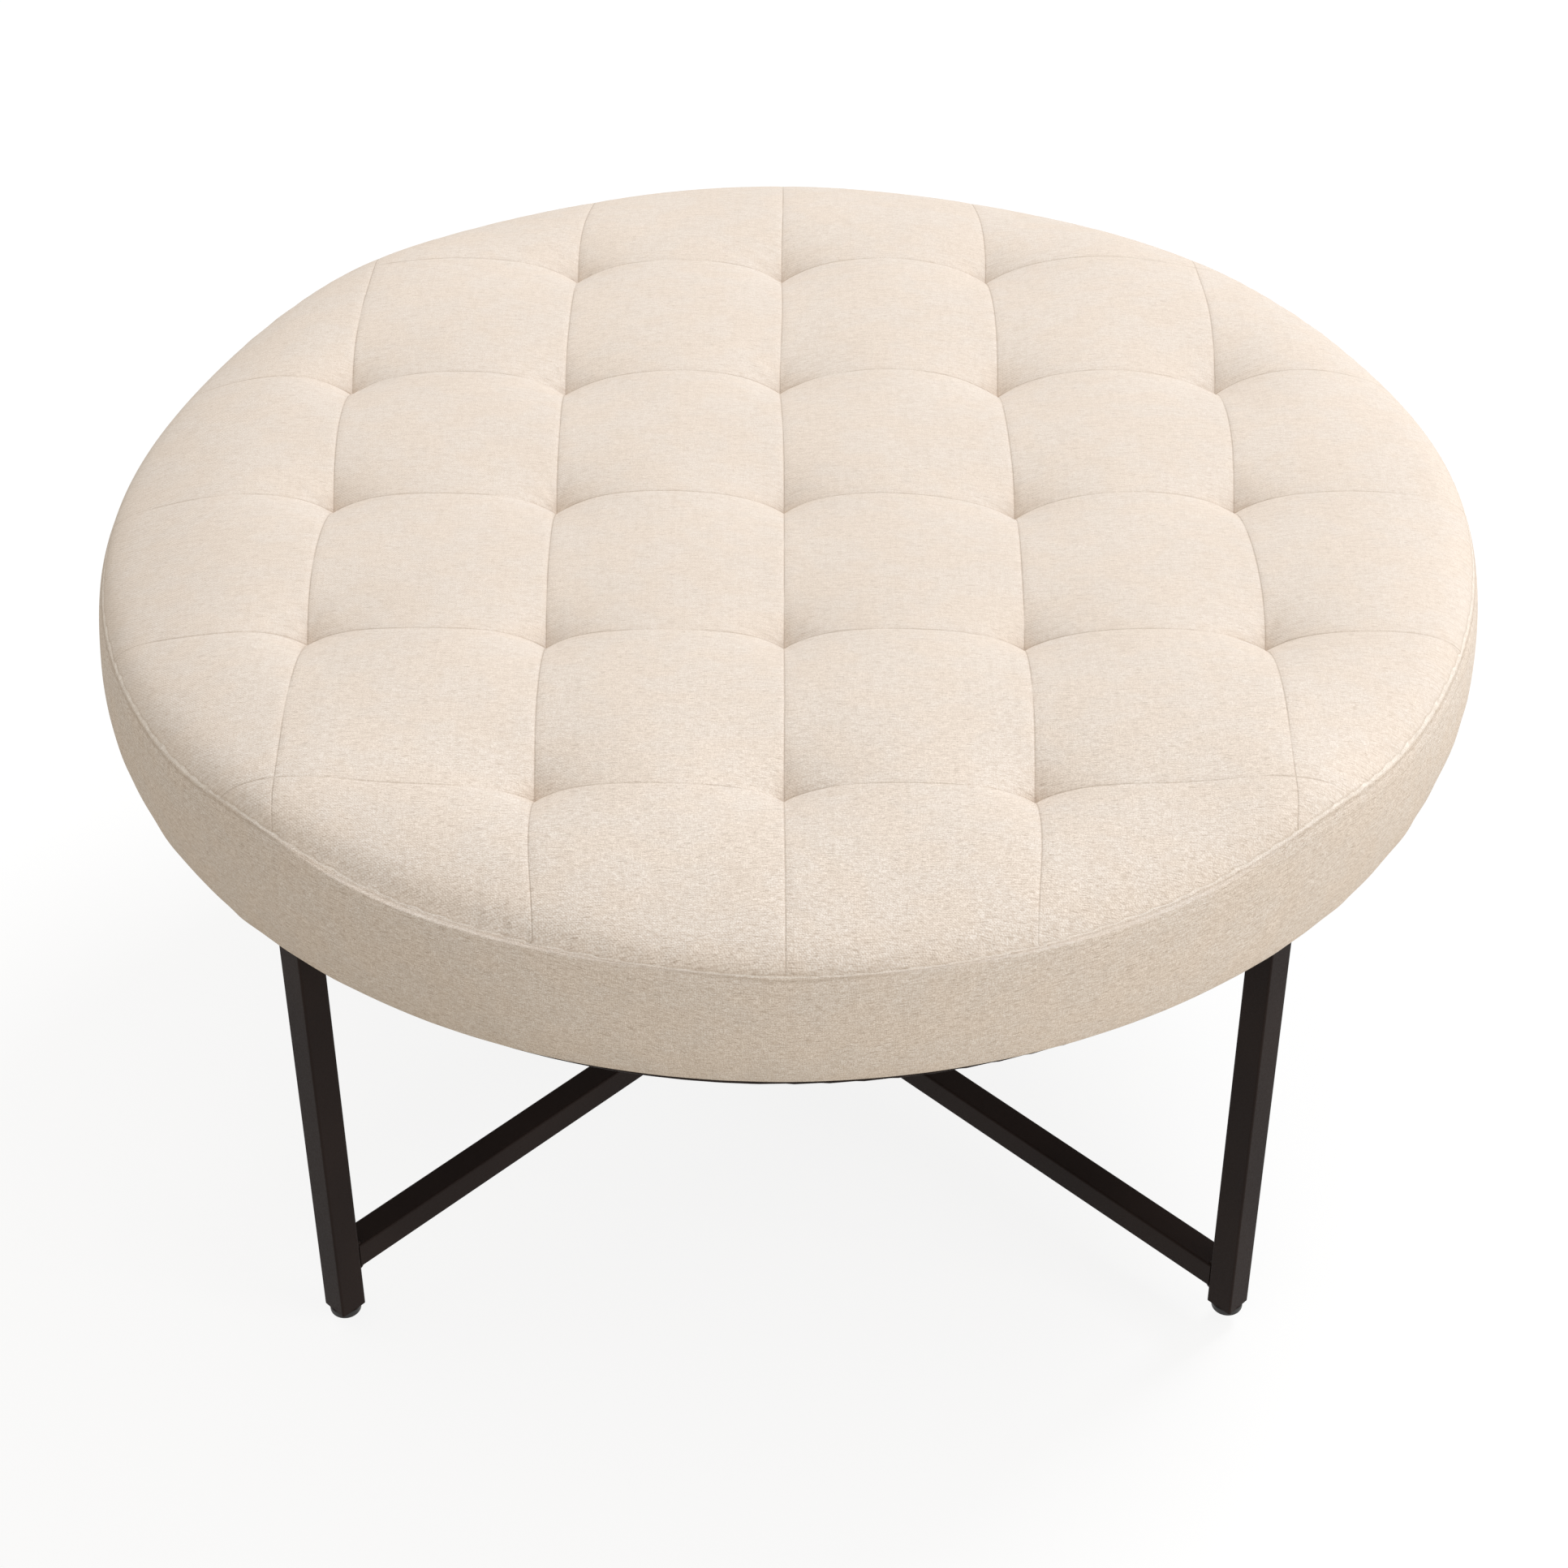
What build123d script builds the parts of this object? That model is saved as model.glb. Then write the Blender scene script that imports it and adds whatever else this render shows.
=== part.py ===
from build123d import *
from math import degrees
import os

os.makedirs("parts", exist_ok=True)

# A round tufted ottoman used as a coffee table, on a welded base of square steel tube.
# Millimetres, Z up from the floor. The origin is under the middle of the round top.
# X runs to the right of the viewer, Y away from the viewer.

# Driving sizes of the base
tube = 20.0
tube_wall = 1.5
tube_corner = 1.5
tube_inner_corner = 0.5
leg_circle = 428.0
leg_length = 336.0
foot_height = 6.2
lower_bar_lift = 13.5
bar_gap = 1.5
weld_leg = 2.6
crossing_weld_leg = 4.5
tab_weld_length = 18.0

# Driving sizes of the round top
rim_overhang = 19.2
band_height = 83.0
side_bulge = 5.0
bulge_drop = 33.0
seam_inset = 1.6
fabric = 1.5
hem_lap = 14.0
deck_thickness = 18.0
side_wadding = 9.0
foam_height = 50.0

# Driving sizes of the tufting, measured from the edge seam up
stitch_rise = 22.0
stitch_crown = 2.0
pillow_rise = 6.0
edge_pillow_rise = 12.0
edge_lift = 8.0
shoulder_width = 44.0
shoulder_rise = 29.0
shoulder_bulge = 8.0
tuft_depth = 17.5
tuft_spread = 74.0
tuft_rim_rise = 27.0
tuft_bulge = 4.0
tuft_eye = 1.6

# Twines, and the anchors that hold them under the deck
twine_radius = 1.0
twine_clearance = 0.2
anchor_radius = 6.0
anchor_thickness = 0.8
knot_radius = 2.2
knot_height = 0.6

# Dust cover and its staples
dust_cover_gap = 2.0
dust_cover_thickness = 0.8
staple_inset = 6.0
staple_width = 10.0
staple_leg = 7.0
staple_wire = 0.9
staple_count = 36

# Mounting tabs inside the ring, with their screws, washers and nuts
tab_count = 8
tab_length = 25.0
tab_width = 32.0
tab_thickness = 3.0
tab_corner = 6.0
screw_radius = 3.0
screw_length = 20.0
screw_head_radius = 5.2
screw_head_height = 3.3
screw_socket_radius = 2.0
screw_socket_depth = 2.0
screw_clearance = 0.4
washer_radius = 6.4
washer_thickness = 1.4
nut_flange_radius = 9.5
nut_flange_thickness = 1.5
nut_barrel_radius = 3.9
nut_barrel_length = 12.0
thread_clearance = 0.05

# Leg plugs, threaded bushes and levelling feet
plug_length = 26.0
plug_clearance = 0.15
plug_fin = 1.6
plug_fin_count = 3
plug_core_inset = 1.2
bush_radius = 5.6
bush_length = 20.0
stem_radius = 4.0
stem_length = 24.0
stem_chamfer = 0.8
stem_clearance = 0.05
stem_head_radius = 6.4
stem_head_thickness = 1.6
pad_radius = 10.6
pad_gap = 0.2
pad_floor = 1.6
pad_round = 2.4
pad_top_edge = 0.4
socket_gap = 0.1

overrun = 5.0
full_turn = 360

# Heights above the floor
ring_bottom = foot_height + leg_length
rim_height = ring_bottom + tube
seam_height = rim_height + band_height
deck_bottom = rim_height + fabric
deck_top = deck_bottom + deck_thickness
lower_bar_bottom = foot_height + lower_bar_lift
upper_bar_bottom = lower_bar_bottom + tube + bar_gap
tuft_floor = seam_height + stitch_rise - tuft_depth
tab_bottom = rim_height - tab_thickness

# Distances from the middle
leg_inner_face = leg_circle - tube / 2
rim_radius = leg_circle + tube / 2 + rim_overhang
bulge_radius = rim_radius + side_bulge
seam_radius = rim_radius - seam_inset
core_radius = rim_radius - fabric - side_wadding
dust_cover_radius = leg_inner_face - tab_length - dust_cover_gap
hem_radius = dust_cover_radius - hem_lap
screw_circle = leg_inner_face - tab_length / 2
pad_height = foot_height - pad_gap

# The stitched lines divide the round top's width into equal steps, with the rim as the last step.
# The tufts stand on every crossing of the lines but the four outer corners.
line_steps = (-2, -1, 0, 1, 2)
edge_step = 3
corner_steps = 4
tuft_pitch = rim_radius / edge_step
tuft_places = [
    (column * tuft_pitch, row * tuft_pitch)
    for row in line_steps
    for column in line_steps
    if abs(column) + abs(row) < corner_steps
]
corners = {"front_right": -45, "back_right": 45, "back_left": 135, "front_left": 225}


def stitch_height(step):
    """Height of a stitched line: the outer lines lie lower, as the top is crowned."""
    return seam_height + stitch_rise - stitch_crown * (step / edge_step) ** 2


def draw_pillow_row(plane, drop):
    """A row of pillows in section: one arc from each stitched line to the next."""
    side = bulge_radius + overrun
    edge = seam_height + edge_lift - drop
    lines = [(step * tuft_pitch, stitch_height(step) - drop) for step in line_steps]
    with BuildSketch(plane) as section:
        with BuildLine():
            Polyline(
                (-seam_radius, edge),
                (-side, edge),
                (-side, rim_height),
                (side, rim_height),
                (side, edge),
                (seam_radius, edge),
            )
            SagittaArc((-seam_radius, edge), lines[0], edge_pillow_rise)
            for near, far in zip(lines, lines[1:]):
                SagittaArc(near, far, pillow_rise)
            SagittaArc(lines[-1], (seam_radius, edge), edge_pillow_rise)
        make_face()
    return section.sketch


def draw_side(inset):
    """The side in section: one bulging arc from the rim to the edge seam."""
    return ThreePointArc(
        (rim_radius - inset, rim_height),
        (bulge_radius - inset, seam_height - bulge_drop),
        (seam_radius - inset, seam_height),
    )


def draw_round_form(inset):
    """Half section of the round top: its side and its rolled shoulder, open above the pillows."""
    ceiling = seam_height + stitch_rise + pillow_rise + overrun
    shoulder = (seam_radius - shoulder_width - inset, seam_height + shoulder_rise - inset)
    with BuildSketch(Plane.XZ) as section:
        with BuildLine():
            side = draw_side(inset)
            SagittaArc(side @ 1, shoulder, -shoulder_bulge)
            Polyline(shoulder, (shoulder[0], ceiling), (0, ceiling), (0, rim_height), side @ 0)
        make_face()
    return section.sketch


# A tuft's hollow: its wall rolls over from the pillows down to the eye where the twine pulls
with BuildPart() as tuft_hollow:
    with BuildSketch(Plane.XZ):
        with BuildLine():
            eye = (tuft_eye, 0)
            rim = (tuft_spread, tuft_rim_rise)
            ceiling = tuft_rim_rise + overrun
            Polyline(eye, (0, 0), (0, ceiling), (tuft_spread, ceiling), rim)
            SagittaArc(eye, rim, tuft_bulge)
        make_face()
    revolve(axis=Axis.Z)


def make_pillow_top(inset):
    """The whole round top, taken in by inset: crossed rows of pillows, drawn down at each tuft."""
    reach = bulge_radius + overrun
    with BuildPart() as form:
        extrude(draw_pillow_row(Plane.XZ, inset), amount=reach, both=True)
        extrude(draw_pillow_row(Plane.YZ, inset), amount=reach, both=True, mode=Mode.INTERSECT)
        revolve(draw_round_form(inset), axis=Axis.Z, mode=Mode.INTERSECT)
        with Locations(*[(x, y, tuft_floor - inset) for x, y in tuft_places]):
            add(tuft_hollow.part, mode=Mode.SUBTRACT)
    return form.part


# Upholstery
padding_form = make_pillow_top(fabric)

with BuildPart() as top_cover:
    add(make_pillow_top(0))
    split(bisect_by=Plane.XY.offset(seam_height), keep=Keep.TOP)
    add(padding_form, mode=Mode.SUBTRACT)
top_cover.part.label = "top_cover"
export_step(top_cover.part, "parts/top_cover.step")

with BuildPart() as boxing_band:
    with BuildSketch(Plane.XZ):
        with BuildLine():
            outer = draw_side(0)
            inner = draw_side(fabric)
            Line(outer @ 0, inner @ 0)
            Line(outer @ 1, inner @ 1)
        make_face()
        with Locations((hem_radius, rim_height)):
            Rectangle(rim_radius - hem_radius - fabric / 2, fabric, align=Align.MIN)
    revolve(axis=Axis.Z)
    with BuildSketch(Plane.XY.offset(rim_height)):
        with PolarLocations(screw_circle, tab_count):
            Circle(screw_radius + screw_clearance)
    extrude(amount=fabric, mode=Mode.SUBTRACT)
boxing_band.part.label = "boxing_band"
export_step(boxing_band.part, "parts/boxing_band.step")

with BuildPart() as wadding:
    add(padding_form)
    split(bisect_by=Plane.XY.offset(deck_bottom), keep=Keep.TOP)
    with BuildSketch(Plane.XY.offset(deck_bottom)):
        Circle(core_radius)
    extrude(amount=deck_thickness + foam_height, mode=Mode.SUBTRACT)
    with BuildSketch(Plane.XY.offset(deck_bottom)):
        with Locations(*tuft_places):
            Circle(twine_radius + twine_clearance)
    extrude(amount=tuft_floor - deck_bottom, mode=Mode.SUBTRACT)
wadding.part.label = "wadding"
export_step(wadding.part, "parts/wadding.step")

with BuildPart() as foam_core:
    with BuildSketch(Plane.XY.offset(deck_top)):
        Circle(core_radius)
        with Locations(*tuft_places):
            Circle(twine_radius + twine_clearance, mode=Mode.SUBTRACT)
    extrude(amount=foam_height)
foam_core.part.label = "foam_core"
export_step(foam_core.part, "parts/foam_core.step")

with BuildPart() as deck_panel:
    with BuildSketch(Plane.XY.offset(deck_bottom)):
        Circle(core_radius)
        with Locations(*tuft_places):
            Circle(twine_radius + twine_clearance, mode=Mode.SUBTRACT)
    extrude(amount=deck_thickness)
    with Locations(Plane.XY.offset(deck_top)):
        with PolarLocations(screw_circle, tab_count):
            CounterBoreHole(nut_barrel_radius, nut_flange_radius, nut_flange_thickness, deck_thickness)
deck_panel.part.label = "deck_panel"
export_step(deck_panel.part, "parts/deck_panel.step")

with BuildPart() as deck_nuts:
    flange_bottom = deck_top - nut_flange_thickness
    with BuildSketch(Plane.XY.offset(flange_bottom)):
        with PolarLocations(screw_circle, tab_count):
            Circle(nut_flange_radius)
    extrude(amount=nut_flange_thickness)
    with BuildSketch(Plane.XY.offset(flange_bottom - nut_barrel_length)):
        with PolarLocations(screw_circle, tab_count):
            Circle(nut_barrel_radius)
    extrude(amount=nut_barrel_length)
    with BuildSketch(Plane.XY.offset(flange_bottom - nut_barrel_length)):
        with PolarLocations(screw_circle, tab_count):
            Circle(screw_radius + thread_clearance)
    extrude(amount=nut_barrel_length + nut_flange_thickness, mode=Mode.SUBTRACT)
deck_nuts.part.label = "deck_nuts"
export_step(deck_nuts.part, "parts/deck_nuts.step")

with BuildPart() as tuft_twines:
    with BuildSketch(Plane.XY.offset(deck_bottom - anchor_thickness)):
        with Locations(*tuft_places):
            Circle(twine_radius)
    extrude(amount=tuft_floor - fabric - deck_bottom + anchor_thickness)
    with BuildSketch(Plane.XY.offset(deck_bottom - anchor_thickness)):
        with Locations(*tuft_places):
            Circle(knot_radius)
    extrude(amount=-knot_height)
tuft_twines.part.label = "tuft_twines"
export_step(tuft_twines.part, "parts/tuft_twines.step")

with BuildPart() as tuft_anchors:
    with BuildSketch(Plane.XY.offset(deck_bottom - anchor_thickness)):
        with Locations(*tuft_places):
            Circle(anchor_radius)
            Circle(twine_radius, mode=Mode.SUBTRACT)
    extrude(amount=anchor_thickness)
tuft_anchors.part.label = "tuft_anchors"
export_step(tuft_anchors.part, "parts/tuft_anchors.step")

with BuildPart() as dust_cover:
    with BuildSketch(Plane.XY.offset(rim_height)):
        Circle(dust_cover_radius)
    extrude(amount=-dust_cover_thickness)
dust_cover.part.label = "dust_cover"
export_step(dust_cover.part, "parts/dust_cover.step")

with BuildPart() as dust_cover_staples:
    crown_bottom = rim_height - dust_cover_thickness - staple_wire
    with BuildSketch(Plane.XY.offset(crown_bottom)):
        with PolarLocations(dust_cover_radius - staple_inset, staple_count):
            Rectangle(staple_wire, staple_width)
    extrude(amount=staple_wire)
    with BuildSketch(Plane.XY.offset(crown_bottom)):
        with PolarLocations(dust_cover_radius - staple_inset, staple_count):
            with GridLocations(0, staple_width - staple_wire, 1, 2):
                Rectangle(staple_wire, staple_wire)
    extrude(amount=staple_leg)
dust_cover_staples.part.label = "dust_cover_staples"
export_step(dust_cover_staples.part, "parts/dust_cover_staples.step")


# Base of square tube
def draw_tube():
    """The tube's section, with rounded corners inside and out."""
    RectangleRounded(tube, tube, tube_corner)
    RectangleRounded(tube - 2 * tube_wall, tube - 2 * tube_wall, tube_inner_corner, mode=Mode.SUBTRACT)


def leg_plane(angle, height):
    """The plane across a leg at a height, its X axis pointing away from the middle."""
    outward = Vector(1, 0, 0).rotate(Axis.Z, angle)
    return Plane(outward * leg_circle + Vector(0, 0, height), x_dir=outward, z_dir=(0, 0, 1))


with BuildPart() as ring_tube:
    with BuildSketch(Plane.XZ):
        with Locations((leg_circle, ring_bottom + tube / 2)):
            draw_tube()
    revolve(axis=Axis.Z)
ring_tube.part.label = "ring_tube"
export_step(ring_tube.part, "parts/ring_tube.step")

with BuildPart() as mounting_tabs:
    with BuildSketch(Plane.XY.offset(tab_bottom)):
        with PolarLocations(leg_inner_face - (tab_length - tube) / 2, tab_count):
            RectangleRounded(tab_length + tube, tab_width, tab_corner)
        Circle(leg_inner_face, mode=Mode.INTERSECT)
        with PolarLocations(screw_circle, tab_count):
            Circle(screw_radius + screw_clearance, mode=Mode.SUBTRACT)
    extrude(amount=tab_thickness)
mounting_tabs.part.label = "mounting_tabs"
export_step(mounting_tabs.part, "parts/mounting_tabs.step")

with BuildPart() as mounting_washers:
    with BuildSketch(Plane.XY.offset(tab_bottom)):
        with PolarLocations(screw_circle, tab_count):
            Circle(washer_radius)
            Circle(screw_radius + screw_clearance, mode=Mode.SUBTRACT)
    extrude(amount=-washer_thickness)
mounting_washers.part.label = "mounting_washers"
export_step(mounting_washers.part, "parts/mounting_washers.step")

with BuildPart() as mounting_screws:
    head_top = tab_bottom - washer_thickness
    with BuildSketch(Plane.XY.offset(head_top)):
        with PolarLocations(screw_circle, tab_count):
            Circle(screw_head_radius)
    extrude(amount=-screw_head_height)
    with BuildSketch(Plane.XY.offset(head_top)):
        with PolarLocations(screw_circle, tab_count):
            Circle(screw_radius)
    extrude(amount=screw_length)
    with BuildSketch(Plane.XY.offset(head_top - screw_head_height)):
        with PolarLocations(screw_circle, tab_count):
            RegularPolygon(screw_socket_radius, 6)
    extrude(amount=screw_socket_depth, mode=Mode.SUBTRACT)
mounting_screws.part.label = "mounting_screws"
export_step(mounting_screws.part, "parts/mounting_screws.step")

for name, angle in corners.items():
    with BuildPart() as leg:
        with BuildSketch(leg_plane(angle, foot_height)):
            draw_tube()
        extrude(amount=leg_length)
    leg.part.label = "leg_" + name
    export_step(leg.part, "parts/leg_" + name + ".step")

# One bar lies over the other, where they cross in the middle
upper_bar_ends = ("back_right", "front_left")
lower_bar_ends = ("back_left", "front_right")
bars = {
    "upper_cross_bar": (upper_bar_ends, upper_bar_bottom),
    "lower_cross_bar": (lower_bar_ends, lower_bar_bottom),
}
for name, (ends, bottom) in bars.items():
    along = Vector(1, 0, 0).rotate(Axis.Z, corners[ends[0]])
    with BuildPart() as cross_bar:
        with BuildSketch(Plane((0, 0, bottom + tube / 2), x_dir=(0, 0, 1), z_dir=along)):
            draw_tube()
        extrude(amount=leg_inner_face, both=True)
    cross_bar.part.label = name
    export_step(cross_bar.part, "parts/" + name + ".step")


def draw_bead(corner, along_face, run, leg, upward):
    """A fillet weld in section at a corner, one face of which lies level and the other upright."""
    with BuildSketch(Plane(corner, x_dir=along_face, z_dir=run)) as section:
        with BuildLine():
            Polyline((leg, 0), (0, 0), (0, leg * upward))
            RadiusArc((leg, 0), (0, leg * upward), -leg * upward)
        make_face()
    return section.sketch


weld_length = tube - 2 * tube_corner

with BuildPart() as bar_welds:
    for name, angle in corners.items():
        # One bead above and one below the end of each bar, on the leg's inner face
        bar_bottom = upper_bar_bottom if name in upper_bar_ends else lower_bar_bottom
        outward = Vector(1, 0, 0).rotate(Axis.Z, angle)
        sideways = Vector(0, 1, 0).rotate(Axis.Z, angle)
        for height, side in ((bar_bottom + tube, 1), (bar_bottom, -1)):
            corner = outward * leg_inner_face + Vector(0, 0, height)
            extrude(draw_bead(corner, -outward, sideways, weld_leg, side), amount=weld_length / 2, both=True)
    # One bead along each flank of the upper bar, on top of the lower one
    along = Vector(1, 0, 0).rotate(Axis.Z, corners[upper_bar_ends[0]])
    across = Vector(0, 1, 0).rotate(Axis.Z, corners[upper_bar_ends[0]])
    for side in (1, -1):
        corner = across * side * tube / 2 + Vector(0, 0, lower_bar_bottom + tube)
        run = along * side
        extrude(draw_bead(corner, across * side, run, crossing_weld_leg, 1), amount=weld_length / 2, both=True)
bar_welds.part.label = "bar_welds"
export_step(bar_welds.part, "parts/bar_welds.step")

with BuildPart() as ring_welds:
    for angle in corners.values():
        # One bead on each flank of a leg, under the ring
        outward = Vector(1, 0, 0).rotate(Axis.Z, angle)
        sideways = Vector(0, 1, 0).rotate(Axis.Z, angle)
        for side in (1, -1):
            corner = outward * leg_circle + sideways * side * tube / 2 + Vector(0, 0, ring_bottom)
            run = outward * side
            extrude(draw_bead(corner, sideways * side, run, weld_leg, -1), amount=weld_length / 2, both=True)
    # One bead under each mounting tab, bent along the ring's inner face
    tab_weld_turn = degrees(tab_weld_length / leg_inner_face)
    for index in range(tab_count):
        start = index * full_turn / tab_count - tab_weld_turn / 2
        outward = Vector(1, 0, 0).rotate(Axis.Z, start)
        sideways = Vector(0, 1, 0).rotate(Axis.Z, start)
        corner = outward * leg_inner_face + Vector(0, 0, tab_bottom)
        bead = draw_bead(corner, -outward, sideways, weld_leg, -1)
        revolve(bead, axis=Axis.Z, revolution_arc=tab_weld_turn)
ring_welds.part.label = "ring_welds"
export_step(ring_welds.part, "parts/ring_welds.step")

# Feet: a finned plug and a threaded bush in each leg, and a screwed stem with its pad below
inside = tube - 2 * tube_wall
fin_size = inside - 2 * plug_clearance
plug_core = fin_size - 2 * plug_core_inset
fin_pitch = (plug_length - plug_fin) / (plug_fin_count - 1)
head_bottom = pad_floor + socket_gap
socket_height = stem_head_thickness + 2 * socket_gap

for name, angle in corners.items():
    with BuildPart() as leg_plug:
        with BuildSketch(leg_plane(angle, foot_height)):
            RectangleRounded(plug_core, plug_core, tube_inner_corner)
        extrude(amount=plug_length)
        for index in range(plug_fin_count):
            with BuildSketch(leg_plane(angle, foot_height + index * fin_pitch)):
                RectangleRounded(fin_size, fin_size, tube_inner_corner)
            extrude(amount=plug_fin)
        with Locations(leg_plane(angle, foot_height)):
            Hole(bush_radius)
    leg_plug.part.label = "leg_plug_" + name
    export_step(leg_plug.part, "parts/leg_plug_" + name + ".step")

    with BuildPart() as threaded_bush:
        with BuildSketch(leg_plane(angle, foot_height)):
            Circle(bush_radius)
            Circle(stem_radius + stem_clearance, mode=Mode.SUBTRACT)
        extrude(amount=bush_length)
    threaded_bush.part.label = "threaded_bush_" + name
    export_step(threaded_bush.part, "parts/threaded_bush_" + name + ".step")

    with BuildPart() as foot_stem:
        with BuildSketch(leg_plane(angle, head_bottom)):
            Circle(stem_head_radius)
        extrude(amount=stem_head_thickness)
        with BuildSketch(leg_plane(angle, head_bottom)):
            Circle(stem_radius)
        extrude(amount=foot_height + stem_length - head_bottom)
        chamfer(foot_stem.faces().sort_by(Axis.Z)[-1].edges(), stem_chamfer)
    foot_stem.part.label = "foot_stem_" + name
    export_step(foot_stem.part, "parts/foot_stem_" + name + ".step")

    with BuildPart() as foot_pad:
        with BuildSketch(leg_plane(angle, 0)):
            Circle(pad_radius)
        extrude(amount=pad_height)
        fillet(foot_pad.faces().sort_by(Axis.Z)[0].edges(), pad_round)
        chamfer(foot_pad.faces().sort_by(Axis.Z)[-1].edges(), pad_top_edge)
        with BuildSketch(leg_plane(angle, pad_floor)):
            Circle(stem_head_radius + socket_gap)
        extrude(amount=socket_height, mode=Mode.SUBTRACT)
        with BuildSketch(leg_plane(angle, pad_floor)):
            Circle(stem_radius + stem_clearance)
        extrude(amount=pad_height, mode=Mode.SUBTRACT)
    foot_pad.part.label = "foot_pad_" + name
    export_step(foot_pad.part, "parts/foot_pad_" + name + ".step")
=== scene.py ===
import bpy
import math
import numpy as np
from mathutils import Matrix, Vector
from mathutils.kdtree import KDTree


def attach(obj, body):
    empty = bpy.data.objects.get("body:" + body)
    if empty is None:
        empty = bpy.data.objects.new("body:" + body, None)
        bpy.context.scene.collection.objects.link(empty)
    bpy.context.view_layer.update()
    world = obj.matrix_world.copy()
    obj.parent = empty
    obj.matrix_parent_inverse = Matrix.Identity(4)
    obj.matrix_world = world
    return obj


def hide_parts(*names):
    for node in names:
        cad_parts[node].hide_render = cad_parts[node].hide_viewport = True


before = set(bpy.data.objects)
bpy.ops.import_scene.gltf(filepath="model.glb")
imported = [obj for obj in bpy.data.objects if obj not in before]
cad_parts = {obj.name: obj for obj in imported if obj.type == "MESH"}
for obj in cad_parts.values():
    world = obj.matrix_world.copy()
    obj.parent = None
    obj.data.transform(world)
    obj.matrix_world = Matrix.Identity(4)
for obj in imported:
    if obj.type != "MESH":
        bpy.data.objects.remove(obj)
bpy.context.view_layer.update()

# Sizes of the round top, in millimetres above the floor and from the middle
PITCH = 152.4  # of the tufts' square grid
OUTER_LINE = 2  # number of the outermost stitched line, counted from the middle one
SEAM_R = 455.6
RIM_R = 457.2
RIM_Z = 362.2
DECK_BOTTOM = 363.7
DECK_TOP = 381.7
DECK_R = 446.5
DECK_GAP = 0.15  # left between the padding and the deck
HEM_R = 377.0
CROWN_Z = 471.2
EDGE_Z = 445.7

# The cover's roll at its edge: a quarter of an ellipse that starts this far out, and stops just short of upright
ROLL_START, ROLL_WIDTH, ROLL_DROP, ROLL_END = 360.0, 96.0, 27.5, 0.99584

# Depth of the stitched lines: a wide valley with a narrow crease in it, shallower near the edge
VALLEY_DEPTH, CREASE_DEPTH, CREASE_REACH, EDGE_FADE = 0.3, 0.8, 2.5, 0.72

# Hollows round the tufts: depth, reach along the stitches, how much less it is between them, and the wall's gathers
TUFT_PULL, TUFT_REACH, REACH_LOSS = 20.2, 25.0, 6.0
GATHER_HEIGHT, GATHER_R, GATHER_WIDTH, GATHER_COUNT = 0.55, 15, 9, 9
SHIFT_REACH = 45.0  # how far round it a tuft's place off the grid takes the cloth along

# Bows of the stitched lines between tufts, and the pull of their ends towards the middle, for each pitch out
BOW_X, BOW_Y, PULL_IN = 1.2, 2.8, 8.5

# The side's curve: it starts a little out from the seam and below it, bulges, and ends a little above the rim
SIDE_OUT, SIDE_DROP, SIDE_BULGE, BULGE_POWER, SIDE_FOOT = 1.2, 2.2, 5.3, 0.62, 2.6
SIDE_RINGS = 22

# Where changes fade in or out, as distances from the middle
VALLEYS_FADE = (395.0, 455.0)
STITCHES_END = (452.0, SEAM_R)
SHIFTS_FADE = (380.0, 452.0)
PULL_GROWS = (310.0, 450.0)
LIFT_GROWS = (345.0, SEAM_R)
WAVES_END = (430.0, SEAM_R)
WIDER_GROWS = (250.0, SEAM_R)
GIVE_FADES = (425.0, 450.0)
RIM_GROWS = (420.0, 455.0)

# The cloth run: its frames, the most that it may move a point, and how firmly it is held along the stitches
CLOTH_FRAMES = 20
CLOTH_GIVE = 3.0
STITCH_HOLD, STITCH_HOLD_REACH = 0.35, 5.0

# Lift of the edge seam at the cover's untufted corners: direction in degrees, lift and half width in degrees
CORNERS = ((45, 3.8, 16.5), (135, 10.0, 16.5), (225, 9.0, 7.6), (315, 9.0, 7.2))

# Where each hand-made tuft stands, in millimetres from its place in the square grid
TUFTS = {
    (-1, 2): (-0.6, 1.3), (0, 2): (-1.2, 0.4), (1, 2): (-2.1, -2.8),
    (-2, 1): (-1.7, 0.4), (-1, 1): (-2.0, -1.5), (0, 1): (-2.6, -1.3), (1, 1): (-0.9, -3.2), (2, 1): (-0.4, -3.0),
    (-2, 0): (1.1, 3.1), (-1, 0): (-0.8, 3.3), (0, 0): (0.0, 1.5), (1, 0): (2.6, -5.1), (2, 0): (-2.5, -0.1),
    (-2, -1): (0.0, 5.9), (-1, -1): (0.2, 3.4), (0, -1): (-0.3, 2.7), (1, -1): (0.5, -1.6), (2, -1): (1.3, -0.6),
    (-1, -2): (1.7, 1.7), (0, -2): (-0.6, 0.9), (1, -2): (-2.0, -1.3),
}


def smooth(low, high, x):
    """0 below low, 1 above high, smooth between."""
    t = np.clip((x - low) / (high - low), 0.0, 1.0)
    return t * t * (3 - 2 * t)


def waves(seed, count, low, high):
    """Smooth irregularity of height about 1 over a plane, from a few seeded waves."""
    rng = np.random.default_rng(seed)
    angle = rng.uniform(0, 2 * np.pi, count)
    length = rng.uniform(low, high, count)
    phase = rng.uniform(0, 2 * np.pi, count)

    def at(x, y):
        total = 0
        for a, wavelength, p in zip(angle, length, phase):
            total = total + np.sin((x * np.cos(a) + y * np.sin(a)) * 2 * np.pi / wavelength + p)
        return total / math.sqrt(count / 2)

    return at


unevenness = waves(4, 9, 70, 190)
rim_unevenness = waves(11, 8, 22, 60)


def round_waves(angle, even, *terms):
    """A slow change round the edge: a constant, then cosine and sine of one, two and three waves a turn."""
    total = even
    for count, (across, along) in enumerate(terms, 1):
        total = total + across * np.cos(count * angle) + along * np.sin(count * angle)
    return total


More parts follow.
